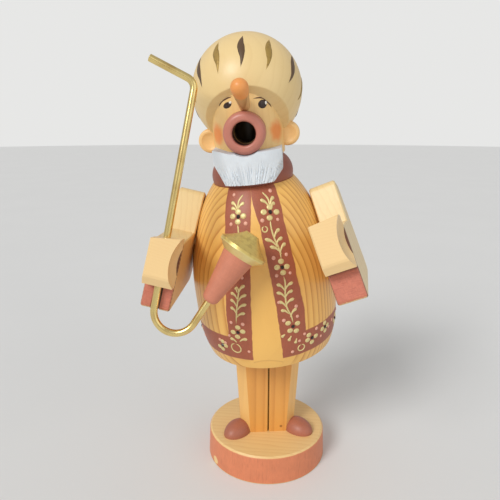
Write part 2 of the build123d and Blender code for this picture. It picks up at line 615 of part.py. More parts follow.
def pipe_lid():
    """Pointed lid that caps the bowl, hollow-flanked above its rim, plugged into the bowl."""
    plug = BOWL_HOLLOW_RADIUS - LID_PLUG_CLEARANCE
    rim_top = LID_RIM_HEIGHT + LID_RIM_EDGE
    flank = ThreePointArc((LID_RIM_RADIUS, 0, rim_top), (LID_WAIST_RADIUS, 0, LID_WAIST_HEIGHT),
                          (LID_TIP_RADIUS, 0, LID_HEIGHT))
    rest = Polyline((LID_TIP_RADIUS, 0, LID_HEIGHT), (0, 0, LID_HEIGHT), (0, 0, -LID_PLUG_DEPTH),
                    (plug, 0, -LID_PLUG_DEPTH), (plug, 0, 0), (LID_UNDER_RADIUS, 0, 0),
                    (LID_RIM_RADIUS, 0, LID_RIM_HEIGHT), (LID_RIM_RADIUS, 0, rim_top))
    cap = revolve(make_face(flank + rest), Axis.Z)
    return bowl_frame() * Pos(0, 0, BOWL_LENGTH) * cap


def write(name, shape):
    """Write one node's STEP file; a list of shapes becomes one group of separate solids."""
    if isinstance(shape, list):
        shape = Compound(children=[solid for piece in shape for solid in piece.solids()])
    export_step(shape, f"parts/{name}.step")


def main():
    """Build every piece in its place and write it."""
    os.makedirs("parts", exist_ok=True)
    write("base_disc", base_disc())
    write("leg_dowels", leg_dowels())
    write("legs", legs())
    write("right_shoe", shoe(RIGHT))
    write("left_shoe", shoe(LEFT))
    write("seat_dowel", UPPER * seat_dowel())
    write("seat_plug", UPPER * seat_plug())
    write("incense_dish", UPPER * incense_dish())
    write("coat", UPPER * coat())
    write("collar", UPPER * collar())
    write("head", UPPER * head())
    write("mouth_ring", UPPER * mouth_ring())
    write("turban", UPPER * turban())
    write("right_ear", UPPER * ear(RIGHT))
    write("left_ear", UPPER * ear(LEFT))
    write("nose", UPPER * nose())
    write("beard", UPPER * beard())
    write("right_sleeve", UPPER * sleeve(RIGHT))
    write("left_sleeve", UPPER * sleeve(LEFT))
    write("right_arm_dowel", UPPER * arm_dowel(RIGHT))
    write("left_arm_dowel", UPPER * arm_dowel(LEFT))
    write("right_hand", UPPER * hand(RIGHT))
    write("left_hand", UPPER * hand(LEFT))
    write("pipe_stem", UPPER * pipe_stem())
    write("pipe_bowl", UPPER * pipe_bowl())
    write("pipe_lid", UPPER * pipe_lid())


main()
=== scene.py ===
"""Looks of the wooden incense smoker: varnish, paint, relief ornament, brass and a plain studio.

Places on the leaning upper half are given in its own frame, in millimetres: x to the figure's
left, -y forward, z up its axis from the coat's open end. Left and right are the figure's own.
"""

import math
from functools import partialmethod

import bmesh
import bpy
from bpy.props import FloatProperty, FloatVectorProperty, PointerProperty
from mathutils import Matrix, Vector
from mathutils.bvhtree import BVHTree

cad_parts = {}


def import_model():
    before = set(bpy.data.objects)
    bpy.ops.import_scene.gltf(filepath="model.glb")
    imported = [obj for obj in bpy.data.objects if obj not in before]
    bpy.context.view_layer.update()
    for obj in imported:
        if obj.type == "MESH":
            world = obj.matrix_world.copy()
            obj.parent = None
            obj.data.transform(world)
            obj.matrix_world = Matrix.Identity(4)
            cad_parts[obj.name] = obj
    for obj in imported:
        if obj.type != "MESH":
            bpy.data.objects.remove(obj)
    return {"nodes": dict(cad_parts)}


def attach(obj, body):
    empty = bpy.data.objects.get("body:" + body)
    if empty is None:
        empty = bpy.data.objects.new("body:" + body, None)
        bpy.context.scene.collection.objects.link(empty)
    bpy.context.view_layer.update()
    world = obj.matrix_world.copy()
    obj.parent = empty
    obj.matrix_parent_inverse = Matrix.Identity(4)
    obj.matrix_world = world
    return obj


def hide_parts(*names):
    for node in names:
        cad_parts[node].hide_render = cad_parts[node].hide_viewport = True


bl_info = {
    "name": "Incense Smoker Looks",
    "version": (1, 0, 0),
    "blender": (4, 2, 0),
    "location": "3D View > Sidebar > Smoker",
    "description": "Varnish, paint, relief ornament and brass for a wooden incense smoker",
    "category": "Object",
}

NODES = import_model()["nodes"]
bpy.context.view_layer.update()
MM = 0.001
GROUND = Matrix.Identity(4)


def shift(x, y, z):
    """Move by millimetres."""
    return Matrix.Translation(Vector((x, y, z)) * MM)


def turn(degrees, axis):
    """Turn about one axis."""
    return Matrix.Rotation(math.radians(degrees), 4, axis)


# Frames of the object, each the one that its pieces were drawn in
UPPER = shift(1.1, -4.0, 62.0) @ turn(5.0, "X") @ turn(-6.7, "Y") @ turn(-9.0, "Z")
TILT = UPPER.to_3x3()  # for directions
TURBAN = UPPER @ shift(0.8, 6.0, 109.5) @ turn(-50.0, "X")
CUFF_LEAN = 9.82
CUFFS = {
    "right": UPPER @ shift(-20.6, -2.1, 71.3) @ turn(18.6, "Y") @ turn(-25.6, "X")
    @ shift(-5.5, -26.8, -25.6) @ turn(CUFF_LEAN, "X"),
    "left": UPPER @ shift(22.3, -2.6, 69.0) @ turn(-3.7, "Z") @ turn(-16.9, "Y")
    @ turn(-28.6, "X") @ shift(5.5, -26.8, -25.6) @ turn(CUFF_LEAN, "X"),
}
ROD = CUFFS["right"] @ shift(-0.7, -1.7, 0.0) @ turn(-2.0, "Y") @ turn(0.8, "Z")
NOSE = UPPER @ shift(1.0, -14.3, 105.3) @ turn(57.0, "X")
U_RADIUS, U_TURN, U_LOW, RUN_TO_BOWL, BOWL_LENGTH = 7.95, 157.6, 25.2, 9.8, 20.0
BOWL = (ROD @ shift(U_RADIUS, 0, -U_LOW) @ turn(180.0 - U_TURN, "Y")
        @ shift(U_RADIUS, 0, RUN_TO_BOWL))

TURBAN_RADIUS = 22.3
HEAD_RADIUS = 14.3
COAT_OUTLINE = ((0.0, 28.0), (2.5, 28.9), (12.0, 30.6), (25.0, 31.3), (42.0, 30.3),
                (54.0, 27.2), (64.0, 23.4), (74.5, 16.9))


class Reading:
    """A number read off a surface; sums written with it become Math nodes."""

    def __init__(self, paint, socket):
        self.paint = paint
        self.socket = socket

    def math(self, operation, *others):
        made = self.paint.tree.nodes.new("ShaderNodeMath")
        made.operation = operation
        for place, value in enumerate((self,) + others):
            if isinstance(value, Reading):
                self.paint.tree.links.new(value.socket, made.inputs[place])
            else:
                made.inputs[place].default_value = value
        return Reading(self.paint, made.outputs[0])

    def __rsub__(self, other):
        return self.math("MULTIPLY", -1.0) + other

    __add__ = partialmethod(math, "ADD")
    __sub__ = partialmethod(math, "SUBTRACT")
    __mul__ = partialmethod(math, "MULTIPLY")
    __truediv__ = partialmethod(math, "DIVIDE")
    __gt__ = partialmethod(math, "GREATER_THAN")
    __lt__ = partialmethod(math, "LESS_THAN")
    __abs__ = partialmethod(math, "ABSOLUTE")

    def ramp(self, low, high):
        """0 below low, 1 above high and a soft step between."""
        made = self.paint.node("ShaderNodeMapRange", {"Value": self, "From Min": low,
                                                      "From Max": high},
                               interpolation_type="SMOOTHSTEP")
        return Reading(self.paint, made.outputs[0])


class Paint:
    """One procedural material, built on a Principled shader and laid out in a frame."""

    def __init__(self, name, frame=UPPER, **finish):
        self.material = bpy.data.materials.new(name)
        self.material.use_nodes = True
        self.tree = self.material.node_tree
        self.tree.nodes.clear()
        self.shader = self.node("ShaderNodeBsdfPrincipled", finish)
        self.node("ShaderNodeOutputMaterial", {"Surface": self.shader.outputs[0]})
        spot, angles, _ = frame.decompose()
        whole = self.node("ShaderNodeTexCoord").outputs["Object"]
        self.place = self.node("ShaderNodeMapping", {"Vector": whole, "Location": spot,
                                                     "Rotation": angles.to_euler("XYZ"),
                                                     "Scale": (MM, MM, MM)},
                               vector_type="TEXTURE").outputs[0]

    def node(self, kind, sockets=None, **settings):
        """Any node but a sum, with its settings and with values or links for its sockets."""
        made = self.tree.nodes.new(kind)
        for name, value in settings.items():
            setattr(made, name, value)
        for name, value in (sockets or {}).items():
            self.plug(made, name, value)
        return made

    def plug(self, node, name, value):
        """Give a node's socket a link or a value."""
        socket = next(s for s in node.inputs if s.name == name and s.enabled)
        if isinstance(value, Reading):
            value = value.socket
        if isinstance(value, bpy.types.NodeSocket):
            self.tree.links.new(value, socket)
        elif socket.type == "RGBA":
            socket.default_value = (*tuple(value)[:3], 1.0)
        else:
            socket.default_value = value

    def finish(self, colour, **sockets):
        """Link or set the shader's colour and others of its sockets, with _ for a blank."""
        self.plug(self.shader, "Base Color", colour)
        for name, value in sockets.items():
            self.plug(self.shader, name.replace("_", " "), value)

    def parts(self, vector=None):
        """The three numbers of a vector, or else of the place."""
        made = self.node("ShaderNodeSeparateXYZ", {"Vector": vector or self.place})
        return tuple(Reading(self, made.outputs[i]) for i in range(3))

    def noise(self, scale, detail=2.0, roughness=0.5, stretch=None, slide=(0.0, 0.0, 0.0)):
        """Soft random shade around 0.5, drawn out along a grain where it is stretched."""
        spot = self.place
        if stretch:
            spot = self.node("ShaderNodeMapping", {"Vector": spot, "Scale": stretch,
                                                   "Location": slide}).outputs[0]
        made = self.node("ShaderNodeTexNoise", {"Vector": spot, "Scale": scale,
                                                "Detail": detail, "Roughness": roughness})
        return Reading(self, made.outputs[0])

    def curve(self, reading, stops):
        """A number looked up along straight runs between rising (place, value) stops."""
        made = self.node("ShaderNodeValToRGB", {"Fac": reading})
        elements = made.color_ramp.elements
        while len(elements) < len(stops):
            elements.new(1.0)
        for element, (place, value) in zip(elements, stops):
            element.position = place
            element.color = (value, value, value, 1.0)
        grey = self.node("ShaderNodeRGBToBW", {"Color": made.outputs[0]})
        return Reading(self, grey.outputs[0])

    def mix(self, share, under, over):
        """Colour over another by a share, each a socket or 0 to 255 levels."""
        under, over = (srgb(*c) if isinstance(c, tuple) else c for c in (under, over))
        made = self.node("ShaderNodeMix", {"Factor": share, "A": under, "B": over},
                         data_type="RGBA")
        return next(s for s in made.outputs if s.enabled)

    def shade(self, colour, reading):
        """Colour multiplied by a number."""
        made = self.node("ShaderNodeVectorMath", {"Vector": colour, "Scale": reading},
                         operation="SCALE")
        return made.outputs[0]

    def relief(self, height, distance):
        """Bump from a height, by a distance in millimetres."""
        made = self.node("ShaderNodeBump", {"Height": height, "Distance": distance * MM})
        self.plug(self.shader, "Normal", made.outputs[0])


def bearing(x, y):
    """Degrees about the frame's Z from straight ahead, positive to the left hand."""
    return x.math("ARCTAN2", y * -1.0) * (180.0 / math.pi)


def reach(x, y):
    """Distance from the origin out of two readings."""
    return (x * x + y * y).math("SQRT")


def clamp(value, low=0.0, high=1.0):
    """Number held between two others."""
    return max(low, min(high, value))


def wood(paint, light, dark, rings=(0.0, 1.0, 0.0), spacing=2.2, wander=0.8,
         strength=0.7, grain="z", fibre=0.22, blotches=0.3, seed=0.0):
    """Growth rings, fibres and pores of one board; gives its colour and height."""
    drawn = {"x": (0.05, 1.0, 1.0), "y": (1.0, 0.05, 1.0), "z": (1.0, 1.0, 0.05)}[grain]
    drift = paint.noise(0.16, 1.0, stretch=drawn, slide=(seed, seed * 0.7, seed * 1.3))
    across = paint.node("ShaderNodeVectorMath", {"Vector": paint.place}, operation="DOT_PRODUCT")
    across.inputs[1].default_value = Vector(rings).normalized()
    layer = (Reading(paint, across.outputs["Value"]) + (drift - 0.5) * (2.0 * wander * spacing)
             + seed) / spacing
    ring = paint.curve(layer.math("FRACT"), [(0.0, 0.0), (0.45, 0.10), (0.72, 0.45),
                                             (0.88, 1.0), (0.93, 1.0), (1.0, 0.0)])
    threads = paint.noise(0.9, 4.0, 0.65, stretch=tuple(6.0 * k for k in drawn))
    blotch = paint.noise(0.09, stretch=tuple(k ** 0.5 for k in drawn))
    if callable(strength):
        strength = strength(*paint.parts())
    amount = ring * strength + (threads - 0.5) * fibre + (blotch - 0.5) * blotches
    colour = paint.mix(amount.math("MAXIMUM", 0.0).math("MINIMUM", 1.0), light, dark)
    return colour, ring * 0.5 * strength + threads * 0.5


def cover(name, paint):
    """Give a CAD node its finish, keeping its mesh."""
    node = NODES[name]
    node.data.materials.clear()
    node.data.materials.append(paint.material)


def add(name, data):
    """Put new data into the scene."""
    made = bpy.data.objects.new(name, data)
    bpy.context.scene.collection.objects.link(made)
    return made


def make_piece(name, mesh, paint, body, smooth=True):
    """Turn a bmesh into a piece that rides on a body."""
    data = bpy.data.meshes.new(name)
    bmesh.ops.recalc_face_normals(mesh, faces=mesh.faces)
    mesh.to_mesh(data)
    mesh.free()
    for face in data.polygons:
        face.use_smooth = smooth
    data.materials.append(paint.material)
    piece = add(name, data)
    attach(piece, body)
    return piece


def hermite(a, slope_a, b, slope_b, t):
    """Smooth run from a to b at a share t, with its slopes at both ends."""
    return (a * (2 * t ** 3 - 3 * t ** 2 + 1) + slope_a * (t ** 3 - 2 * t ** 2 + t)
            + b * (3 * t ** 2 - 2 * t ** 3) + slope_b * (t ** 3 - t ** 2))


def coat_radius(height):
    """Radius of the coat at a height along its axis, by a smooth line through its outline."""
    knots = COAT_OUTLINE
    height = clamp(height, knots[0][0], knots[-1][0])
    i = max(k for k in range(len(knots) - 1) if knots[k][0] <= height)
    before, after = max(i - 1, 0), min(i + 2, len(knots) - 1)
    (h0, r0), (h1, r1) = knots[i], knots[i + 1]
    slope0 = (r1 - knots[before][1]) / (h1 - knots[before][0])
    slope1 = (knots[after][1] - r0) / (knots[after][0] - h0)
    span = h1 - h0
    return hermite(r0, span * slope0, r1, span * slope1, (height - h0) / span)


COAT = NODES["coat"].data
COAT_SKIN = BVHTree.FromPolygons([vert.co for vert in COAT.vertices],
                                 [face.vertices for face in COAT.polygons])
RAY_START = 60.0


def outward(around):
    """Level direction at an angle from straight ahead."""
    return Vector((math.sin(around), -math.cos(around), 0.0))


def on_coat(azimuth, aside, height, lift):
    """Point on the coat: sideways from an azimuth in millimetres, at a height, lifted off it."""
    radius = coat_radius(height)
    around = math.radians(azimuth) + aside / radius
    slope = coat_radius(height + 0.5) - coat_radius(height - 0.5)
    level, up = outward(around), Vector((0, 0, height))
    start = UPPER @ ((level * RAY_START + up) * MM)
    spot, *_ = COAT_SKIN.ray_cast(start, TILT @ -level)
    if spot is None:
        spot = UPPER @ ((level * radius + up) * MM)
    out = Vector((level.x, level.y, -slope)).normalized()
    return spot + TILT @ out * lift * MM


def on_head(azimuth, aside, height, lift):
    """Point on the head's cylinder."""
    level = outward(math.radians(azimuth) + aside / HEAD_RADIUS)
    return UPPER @ ((level * (HEAD_RADIUS + lift) + Vector((0, 0, height))) * MM)


def on_turban(azimuth, aside, height, lift):
    """Point on the turban's ball; height is the arc up from its widest circle."""
    rise = height / TURBAN_RADIUS
    around = math.radians(azimuth) + aside / (TURBAN_RADIUS * max(math.cos(rise), 0.2))
    out = outward(around) * math.cos(rise) + Vector((0, 0, math.sin(rise)))
    return TURBAN @ (out * (TURBAN_RADIUS + lift) * MM)


class Brush:
    """Raised dabs and strokes of paint, each a flattened spindle laid on a surface."""

    def __init__(self, surface, rise):
        self.mesh = bmesh.new()
        self.surface = surface
        self.rise = rise

    def blob(self, rings, sides):
        """A round spindle of unit size whose poles lie along z."""
        made = bmesh.ops.create_uvsphere(self.mesh, u_segments=sides, v_segments=rings, radius=1.0)
        return made["verts"]

    def dab(self, azimuth, height, wide, tall=None, lean=0.0, rings=6, sides=14):
        """Round or oval dab at a place, in degrees around and millimetres up."""
        tall = wide if tall is None else tall
        cosine, sine = math.cos(math.radians(lean)), math.sin(math.radians(lean))
        for vert in self.blob(rings, sides):
            x, y = vert.co.x * wide, vert.co.y * tall
            vert.co = self.surface(azimuth, x * cosine - y * sine,
                                   height + x * sine + y * cosine, vert.co.z * self.rise)

    def stroke(self, points, widths, rings=None):
        """Stroke through (azimuth, height) points, with half-widths spread along it."""
        start, top = points[0]
        unit = (self.surface(start, 0, top, 0) - self.surface(start, 1, top, 0)).length / MM
        middle = sum(p[1] for p in points) / len(points)
        per_degree = (self.surface(start - 1, 0, middle, 0)
                      - self.surface(start, 0, middle, 0)).length / MM / max(unit, 0.2)
        flat = [Vector(((a - start) * per_degree, h)) for a, h in points]
        rings = rings or 4 * len(points) + 4
        for vert in self.blob(rings, 8):
            share = math.acos(clamp(-vert.co.z, -1.0)) / math.pi
            spot, ahead = along(flat, share)
            side = Vector((ahead.y, -ahead.x)).normalized()
            ring = math.hypot(vert.co.x, vert.co.y)
            half = spread(widths, share)
            cap = min(1.0, ring * 3.0)
            x, y = (vert.co.x / ring, vert.co.y / ring) if ring > 1e-6 else (0.0, 0.0)
            spot = spot + side * (x * half * cap)
            vert.co = self.surface(start, spot.x, spot.y, y * self.rise * cap)

    def piece(self, name, paint, slot, smooth=True):
        """Hand over all that was brushed as one piece of the figure."""
        make_piece(name, self.mesh, paint, "figure", smooth)

    def gem(self, azimuth, height, radius):
        """Cut stone with six sides."""
        self.dab(azimuth, height, radius, rings=4, sides=6)

    def ring(self, azimuth, height, radius, width):
        """Painted circle."""
        per_degree = math.radians(coat_radius(height))
        steps = [math.radians(30.0 * k) for k in range(13)]
        self.stroke([(azimuth + radius * math.sin(a) / per_degree, height + radius * math.cos(a))
                     for a in steps], (width, width), rings=40)

    def leaf(self, foot, tip, width):
        """Club-shaped leaf that leaves its stem low, bends out and swells to a round end."""
        away, up = tip[0] - foot[0], tip[1] - foot[1]
        self.stroke([(foot[0] - 0.22 * away, foot[1] - 0.3 * up - 0.7),
                     (foot[0] + 0.3 * away, foot[1] + 0.5 * up), tip],
                    (0.3 * width, 0.42 * width, 0.62 * width, width, 0.85 * width))


def along(points, share):
    """Point and direction at a share of a smooth line through flat points."""
    spans = len(points) - 1
    step = min(int(share * spans), spans - 1)
    t = share * spans - step
    a, b = points[step], points[step + 1]
    before = points[step - 1] if step > 0 else a * 2 - b
    after = points[step + 2] if step + 2 <= spans else b * 2 - a
    slope_a, slope_b = (b - before) * 0.5, (after - a) * 0.5
    ahead = (a * (6 * t ** 2 - 6 * t) + slope_a * (3 * t ** 2 - 4 * t + 1)
             + b * (6 * t - 6 * t ** 2) + slope_b * (3 * t ** 2 - 2 * t))
    return hermite(a, slope_a, b, slope_b, t), ahead


def spread(values, share):
    """Value at a share of evenly spread values."""
    place = share * (len(values) - 1)
    step = min(int(place), len(values) - 2)
    return values[step] + (values[step + 1] - values[step]) * (place - step)


def srgb(*levels):
    """Linear colour from 0 to 255 levels."""
    return tuple(v / 255 / 12.92 if v <= 10 else ((v / 255 + 0.055) / 1.055) ** 2.4
                 for v in levels)


# Ornament, each place an azimuth in degrees and a height on the coat
BAND_DOTS = (
    (-20.5, 72.3), (-20.1, 62.0), (-5.9, 62.2), (-10.8, 42.2), (-23.6, 22.7), (-14.1, 22.4),
    (-12.4, 9.4), (-32.2, 12.1), (-37.9, 12.8), (-27.0, 16.2), (24.5, 72.5), (9.6, 62.7),
    (24.0, 62.2), (24.9, 49.1), (14.4, 48.7), (25.3, 41.9), (14.8, 41.9), (26.9, 27.7),
    (14.1, 31.0), (27.2, 23.2), (16.5, 22.8), (32.2, 14.2), (21.5, 7.2), (43.9, 14.3),
    (49.2, 9.3), (60.1, 11.0), (66.2, 12.7), (27.6, 11.7),
)
STEMS = (
    ((-13.6, 66.7), (-13.6, 69.9), (-8.9, 72.4)),
    ((-13.4, 61.9), (-12.8, 59.7), (-12.2, 55.0), (-12.4, 48.0), (-13.4, 42.0)),
    ((-15.9, 39.0), (-14.3, 37.0), (-15.5, 33.4), (-17.7, 27.9), (-19.4, 22.1)),
    ((19.6, 66.9), (19.2, 70.0), (14.6, 72.6)),
    ((16.9, 62.4), (16.5, 59.9), (17.4, 56.2), (20.2, 51.4), (20.5, 47.6)),
    ((19.9, 41.4), (20.5, 38.3), (19.5, 33.8), (19.7, 28.4), (22.4, 24.2), (23.4, 20.7)),
)
LEAVES = (  # foot and tip
    (-15.2, 67.9, -22.3, 69.8), (-13.1, 67.9, -7.1, 69.5), (-15.7, 67.2, -21.6, 67.7),
    (-12.6, 56.5, -18.0, 58.6), (-12.2, 54.0, -7.4, 56.2), (-12.4, 50.5, -17.6, 52.4),
    (-12.3, 47.5, -7.4, 49.4), (-13.0, 44.0, -18.0, 45.6), (-14.2, 36.5, -9.1, 39.3),
    (-15.7, 37.0, -17.0, 38.2), (-14.5, 33.4, -8.4, 35.4), (-16.3, 34.1, -20.9, 36.0),
    (-15.8, 29.6, -9.2, 31.3), (-17.5, 30.9, -21.7, 33.1), (-18.2, 27.6, -22.5, 29.7),
    (-17.1, 26.2, -11.0, 27.4), (-17.6, 14.9, -12.0, 15.5), (-22.1, 14.3, -26.8, 15.0),
    (20.5, 68.1, 26.3, 70.4), (18.1, 67.6, 10.8, 70.1), (20.6, 67.0, 25.5, 68.3),
    (18.2, 56.6, 23.8, 58.9), (18.7, 54.0, 24.8, 55.6), (21.2, 51.3, 26.4, 53.3),
    (17.9, 53.4, 9.5, 56.1), (20.0, 50.9, 12.7, 53.1), (18.9, 36.2, 13.9, 38.6),
    (20.9, 36.7, 26.6, 38.0), (18.7, 33.1, 13.1, 35.3), (20.2, 33.5, 25.8, 34.8),
    (18.5, 29.4, 13.7, 31.3), (20.0, 30.0, 26.1, 31.3), (19.8, 26.2, 14.9, 27.4),
    (22.5, 24.8, 27.3, 26.8), (16.0, 16.8, 13.4, 15.4), (20.7, 15.3, 18.6, 13.0),
    (25.1, 13.4, 23.9, 11.0),
)
FLOWERS = (  # middle and petals
    ((-13.1, 64.7), (-13.3, 66.4), (-18.8, 64.8), (-8.1, 64.9), (-13.4, 62.9)),
    ((-18.9, 18.4), (-18.5, 20.7), (-22.9, 18.3), (-15.0, 19.0), (-19.8, 16.3)),
    ((-36.0, 10.3), (-35.4, 12.3), (-33.0, 10.4), (-40.2, 8.9), (-37.3, 8.1)),
    ((18.5, 65.3), (19.0, 67.0), (12.1, 65.6), (24.6, 64.9), (16.8, 63.3)),
    ((20.0, 44.7), (19.7, 47.0), (16.0, 45.0), (23.5, 44.6), (20.0, 42.6)),
    ((23.0, 19.3), (19.5, 21.2), (26.8, 20.1), (20.5, 17.7), (25.4, 16.9)),
    ((39.2, 10.9), (36.1, 12.8), (43.2, 10.8), (39.2, 8.7), (34.9, 10.6)),
    ((54.4, 12.5), (54.0, 14.4), (50.9, 12.3), (57.9, 12.4), (54.8, 10.5)),
)
RINGS = ((-22.9, 10.5, 2.2), (29.1, 8.1, 1.5), (10.8, 59.5, 1.0))

# Turban strokes: sideways in degrees and latitude, from top to bottom
STROKE_LINE = ((1.6, 15.0), (-0.4, 1.5), (0.3, -9.5), (0.5, -17.0), (-1.0, -26.5))
STROKE_PLACES = (-49.2, -23.3, 2.4, 29.4, 60.3, 88.0, 114.0, 139.0, 164.0, 189.0, 214.0, 239.0,
                 263.0, 287.0)

EYES = ((32.7, 104.7, 1.9, 1.6, 0.0), (-22.6, 105.7, 1.9, 1.1, 17.0))
# White dabs laid on the eyes: painted highlights, where light glints on their gloss
EYE_HIGHLIGHTS = ((38.3, 105.0, 0.55, 0.75, -8.0), (-16.9, 106.6, 0.6, 0.5, 12.0))
BROWS = (((-39.5, 105.3), (-32.2, 107.1), (-23.2, 108.1), (-13.1, 108.7)),
         ((17.4, 107.1), (26.0, 107.2), (33.0, 106.9), (38.0, 106.1),
          (42.5, 105.0), (46.5, 103.9), (49.5, 102.9)))


class SmokerFinish(bpy.types.PropertyGroup):
    """Sizes and strengths of the finishes."""
    ring_strength: FloatProperty(
        name="Growth rings", description="How dark the wood's late growth is",
        default=0.75, min=0.0, max=1.0, subtype="FACTOR")
    paint_rise: FloatProperty(
        name="Paint rise", description="How far brushed paint stands up",
        default=0.00022, min=0.0, max=0.001, unit="LENGTH")


class SmokerStage(bpy.types.PropertyGroup):
    """Light and floor of the plain studio."""
    key_level: FloatProperty(
        name="Key light", description="Level of the light from the front left",
        default=1.75, min=0.0)
    ambient: FloatProperty(
        name="Ambient", description="Level of the light from all round", default=0.46, min=0.0)
    floor: FloatVectorProperty(
        name="Floor", description="Colour of the floor", subtype="COLOR",
        default=(0.78, 0.78, 0.77), min=0.0, max=1.0)


class Piece:
    """What every operator here shares."""
    bl_options = {"REGISTER", "UNDO"}

    def execute(self, context):
        self.build(context.scene.smoker_finish)
        return {"FINISHED"}


def board_wood(name, frame, light, dark, finish, roughness=0.42, **grain):
    """Varnished wood all over."""
    paint = Paint(name, frame)
    strength = grain.pop("rings_seen", 1.0) * finish.ring_strength
    colour, height = wood(paint, light, dark, strength=strength, **grain)
    rough = paint.noise(0.8) * 0.2 + (roughness - 0.1)
    paint.finish(colour, Roughness=rough, Coat_Weight=0.12, Coat_Roughness=0.25)
    paint.relief(height, 0.06)
    return paint, colour, height


def painted(paint, colour, wobble):
    """Brushed paint: streaks, blotches and thin spots in one colour."""
    streaks = paint.noise(2.2, 3.0, stretch=(1.0, 1.0, 0.25))
    blotch = paint.noise(0.18)
    level = (streaks - 0.5) * (2.0 * wobble) + (blotch - 0.5) * 0.22 + 1.0
    return paint.shade(srgb(*colour), level), streaks


def plain_paint(name, frame, colour, wobble, relief, **finish):
    """Brushed paint of one even gloss."""
    paint = Paint(name, frame)
    shaded, streaks = painted(paint, colour, wobble)
    paint.finish(shaded, **finish)
    paint.relief(streaks, relief)
    return paint


class SMOKER_OT_base(Piece, bpy.types.Operator):
    """Painted base disc with its bare top, varnished legs and painted shoes"""
    bl_idname = "smoker.base"
    bl_label = "Base, legs and shoes"

    PAINT_TOP = 12.45
    CHIP = (-25.3, -12.0, 2.0)
    KNOT = (6.2, -24.0)
    KERF_HALF, KERF_FLOOR = 0.34, 5.2

    def build(self, finish):
        paint = Paint("base_wood", GROUND)
        bare, height = wood(paint, (240, 204, 140), (214, 164, 100), rings=(0.2, 1.0, 0.0),
                            spacing=2.6, grain="x", strength=0.28)
        x, y, z = paint.parts()
        coat, _ = painted(paint, (218, 132, 92), 0.1)
        fibres = paint.noise(1.6, 3.0, stretch=(1.0, 1.0, 0.12))
        wobble = (paint.noise(0.5) - 0.5) * 0.7
        side = 1.0 - (z + wobble * 0.3).ramp(self.PAINT_TOP, self.PAINT_TOP + 0.3)
        dx, dy, dz = (part - spot for part, spot in zip((x, y, z), self.CHIP))
        chip = (dx * dx + dy * dy * 0.5 + dz * dz * 0.8).math("SQRT")
        bared_and_lit = 1.0 - (chip + wobble).ramp(1.4, 1.9)
        underside = 1.0 - z.ramp(0.05, 0.25)
        covered = side * (1.0 - bared_and_lit) * (1.0 - underside)
        grained = paint.mix(fibres.ramp(0.52, 0.72) * 0.28, coat, (178, 96, 62))
        paint.finish(paint.mix(covered, bare, grained),
                     Roughness=covered * 0.1 + 0.42, Coat_Weight=0.1, Coat_Roughness=0.3)
        paint.relief(height * 0.5 + fibres * 0.5 + covered * 0.4, 0.07)
        cover("base_disc", paint)

        paint, colour, _ = board_wood(
            "leg_wood", shift(0, 0.3, 40), (231, 165, 82), (176, 98, 36), finish,
            rings=(1.0, 0.35, 0.0), spacing=4.6, wander=0.4, rings_seen=0.4, seed=4.0)
        x, y, z = paint.parts()
        knot = reach(x - self.KNOT[0], z - self.KNOT[1])
        kerf = (1.0 - abs(x).ramp(self.KERF_HALF, 0.5)) * (abs(y) > self.KERF_FLOOR)
        # Painted light: the chamfer faces of the legs are painted paler for the light that falls
        # on them.
        sideways = abs(paint.parts(paint.node("ShaderNodeNewGeometry").outputs["Normal"])[0])
        lit_bevel = sideways.ramp(0.3, 0.6) * (1.0 - sideways.ramp(0.86, 0.97))
        bared_and_lit = paint.mix(lit_bevel * 0.55, colour, (250, 208, 132))
        marked = paint.mix((1.0 - knot.ramp(0.35, 0.9)) * 0.7, bared_and_lit, (120, 62, 26))
        paint.finish(paint.mix(kerf * 0.9, marked, (222, 186, 96)))
        cover("legs", paint)

        paint = plain_paint("shoe_paint", GROUND, (172, 104, 80), 0.14, 0.05,
                            Roughness=0.5, Coat_Weight=0.12, Coat_Roughness=0.3)
        for side in ("right", "left"):
            cover(side + "_shoe", paint)


class SMOKER_OT_inside(Piece, bpy.types.Operator):
    """Plug, dowels and tinplate dish inside the coat"""
    bl_idname = "smoker.inside"
    bl_label = "Plug, dowels and dish"

    def build(self, finish):
        beech = UPPER, (222, 184, 132), (190, 142, 92), finish, 0.6
        paint, *_ = board_wood("plug_wood", *beech, grain="x", spacing=1.8)
        cover("seat_plug", paint)
        paint, *_ = board_wood("dowel_wood", *beech, spacing=1.2)
        for name in ("leg_dowels", "seat_dowel", "right_arm_dowel", "left_arm_dowel"):
            cover(name, paint)
        paint = Paint("tinplate", Metallic=1.0)
        x, y, _ = paint.parts()
        spangle = paint.noise(0.35, 3.0)
        scorch = 1.0 - reach(x, y).ramp(1.5, 6.0)
        paint.finish(paint.mix(scorch * 0.6, (196, 198, 200), (92, 78, 64)),
                     Roughness=spangle * 0.25 + 0.22)
        paint.relief(spangle, 0.08)
        cover("incense_dish", paint)


